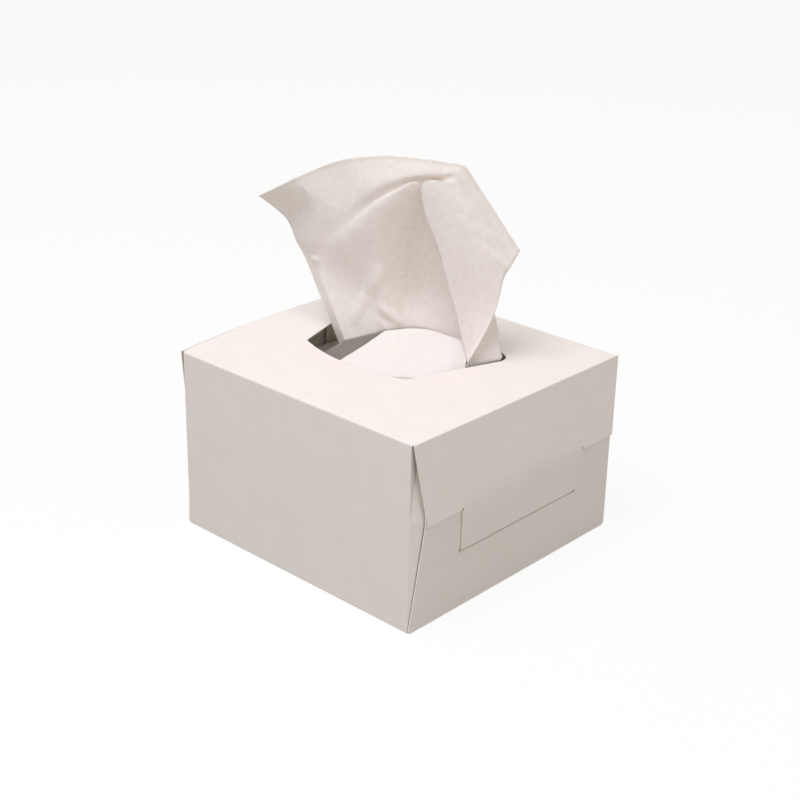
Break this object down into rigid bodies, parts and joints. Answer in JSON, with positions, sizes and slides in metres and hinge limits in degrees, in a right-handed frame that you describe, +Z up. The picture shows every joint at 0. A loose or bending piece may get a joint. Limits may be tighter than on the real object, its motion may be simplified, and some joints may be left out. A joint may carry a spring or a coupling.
{
  "type": "pop-up pack of lens cleaning tissues",
  "caption": "Plain white folded carton with slit-lock end flaps and an open top, holding interfolded lens tissues, one standing up ready to pull.",
  "frame": {"origin": "middle of the carton's bottom panel, on the surface it stands on", "axes": "+X along the front wall towards the right lock flap, +Y to the back wall, +Z up"},
  "size_m": [0.1274, 0.1176, 0.1491],
  "materials": {
    "board": "matte",
    "tissue": "matte"
  },
  "bodies": {
    "pack": {"carton": "board", "tissue_stack": "tissue", "pop_up_tissue": "tissue", "next_tissue": "tissue"},
    "right_flap": {"right_lock_flap": "board", "right_lock_tongue": "board"},
    "left_flap": {"left_lock_flap": "board", "left_lock_tongue": "board"}
  },
  "joints": [
    {"name": "right_flap_fold", "type": "hinge", "parent": "pack", "child": "right_flap", "pos_m": [0.06005, 0, 0.074], "axis": [0, -1, 0], "range_deg": [0, 110], "deforming": ["right_lock_tongue"]},
    {"name": "left_flap_fold", "type": "hinge", "parent": "pack", "child": "left_flap", "pos_m": [-0.06005, 0, 0.0768], "axis": [0, 1, 0], "range_deg": [0, 110], "deforming": ["left_lock_tongue"]}
  ]
}
